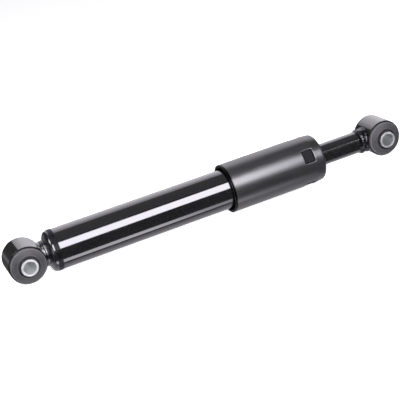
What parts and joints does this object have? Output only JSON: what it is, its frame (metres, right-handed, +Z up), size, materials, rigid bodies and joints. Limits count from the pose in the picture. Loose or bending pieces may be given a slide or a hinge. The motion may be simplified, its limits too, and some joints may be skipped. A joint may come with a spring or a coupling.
{
  "type": "shock absorber",
  "caption": "Telescopic cab shock absorber: black twin-tube damper with a rubber-bushed steel eye at each end and a plastic dust cover over its piston rod.",
  "frame": {"origin": "centre of the lower eye's bore", "axes": "+X along the damper to the upper eye, +Y along the eye bores, +Z up as the damper lies on a surface"},
  "size_m": [0.423, 0.0494, 0.0494],
  "materials": {
    "eye_paint": "gloss black paint on pressed steel",
    "tube_paint": "gloss black paint on drawn tube",
    "weld_paint": "gloss black paint over weld ripples",
    "extension_paint": "black paint with slight orange peel",
    "carrier_paint": "satin black coated steel",
    "cover_plastic": "satin black moulded plastic",
    "bush_rubber": "moulded black rubber",
    "zinc_steel": "zinc plated steel",
    "rod_chrome": "hard chrome, ground and polished",
    "bare_steel": "bare oiled steel",
    "sintered_iron": "sintered iron",
    "guide_bronze": "bronze plain bush",
    "seal_rubber": "nitrile rubber",
    "buffer_plastic": "cast polyurethane",
    "band_plastic": "filled low-friction plastic"
  },
  "bodies": {
    "cylinder": {"lower_eye_ring": "eye_paint", "lower_bush_rubber": "bush_rubber", "lower_eye_weld": "weld_paint", "base_cap": "eye_paint", "base_weld_bead": "weld_paint", "reserve_tube": "tube_paint", "pressure_tube": "bare_steel", "base_valve_body": "sintered_iron", "base_valve_bolt": "bare_steel", "base_valve_nut": "bare_steel", "base_intake_disc": "bare_steel", "base_intake_spring": "bare_steel", "base_shim_large": "bare_steel", "base_shim_medium": "bare_steel", "base_shim_small": "bare_steel", "rod_guide": "sintered_iron", "guide_bush": "guide_bronze", "rod_seal": "seal_rubber", "seal_garter_spring": "bare_steel", "seal_retainer": "bare_steel"},
    "piston_band": {"piston_band": "band_plastic"},
    "rod": {"piston_rod": "rod_chrome", "piston": "sintered_iron", "piston_intake_plate": "bare_steel", "piston_intake_spring": "bare_steel", "piston_support_washer": "bare_steel", "rebound_shim_large": "bare_steel", "rebound_shim_medium": "bare_steel", "rebound_shim_small": "bare_steel", "shim_spacer": "bare_steel", "piston_nut": "bare_steel", "rebound_stop": "bare_steel", "rebound_buffer": "buffer_plastic", "cover_carrier": "carrier_paint", "dust_cover": "cover_plastic", "rod_extension_tube": "extension_paint", "upper_eye_weld": "weld_paint", "upper_eye_ring": "eye_paint", "upper_bush_rubber": "bush_rubber"},
    "lower_sleeve": {"lower_bush_sleeve": "zinc_steel"},
    "upper_sleeve": {"upper_bush_sleeve": "zinc_steel"}
  },
  "joints": [
    {"name": "rod_stroke", "type": "slide", "parent": "cylinder", "child": "piston_band", "axis": [1, 0, 0], "range_m": [-0.072, 0], "stiffness_N_per_m": 250, "springref_m": 0.2},
    {"name": "rod_spin", "type": "hinge", "parent": "piston_band", "child": "rod", "pos_m": [0.16, 0, 0], "axis": [1, 0, 0], "continuous": true},
    {"name": "lower_bush_twist", "type": "hinge", "parent": "cylinder", "child": "lower_sleeve", "pos_m": [0, 0, 0], "axis": [0, 1, 0], "range_deg": [-15, 15], "stiffness_Nm_per_rad": 33},
    {"name": "upper_bush_twist", "type": "hinge", "parent": "rod", "child": "upper_sleeve", "pos_m": [0.386, 0, 0], "axis": [0, 1, 0], "range_deg": [-15, 15], "stiffness_Nm_per_rad": 33}
  ]
}
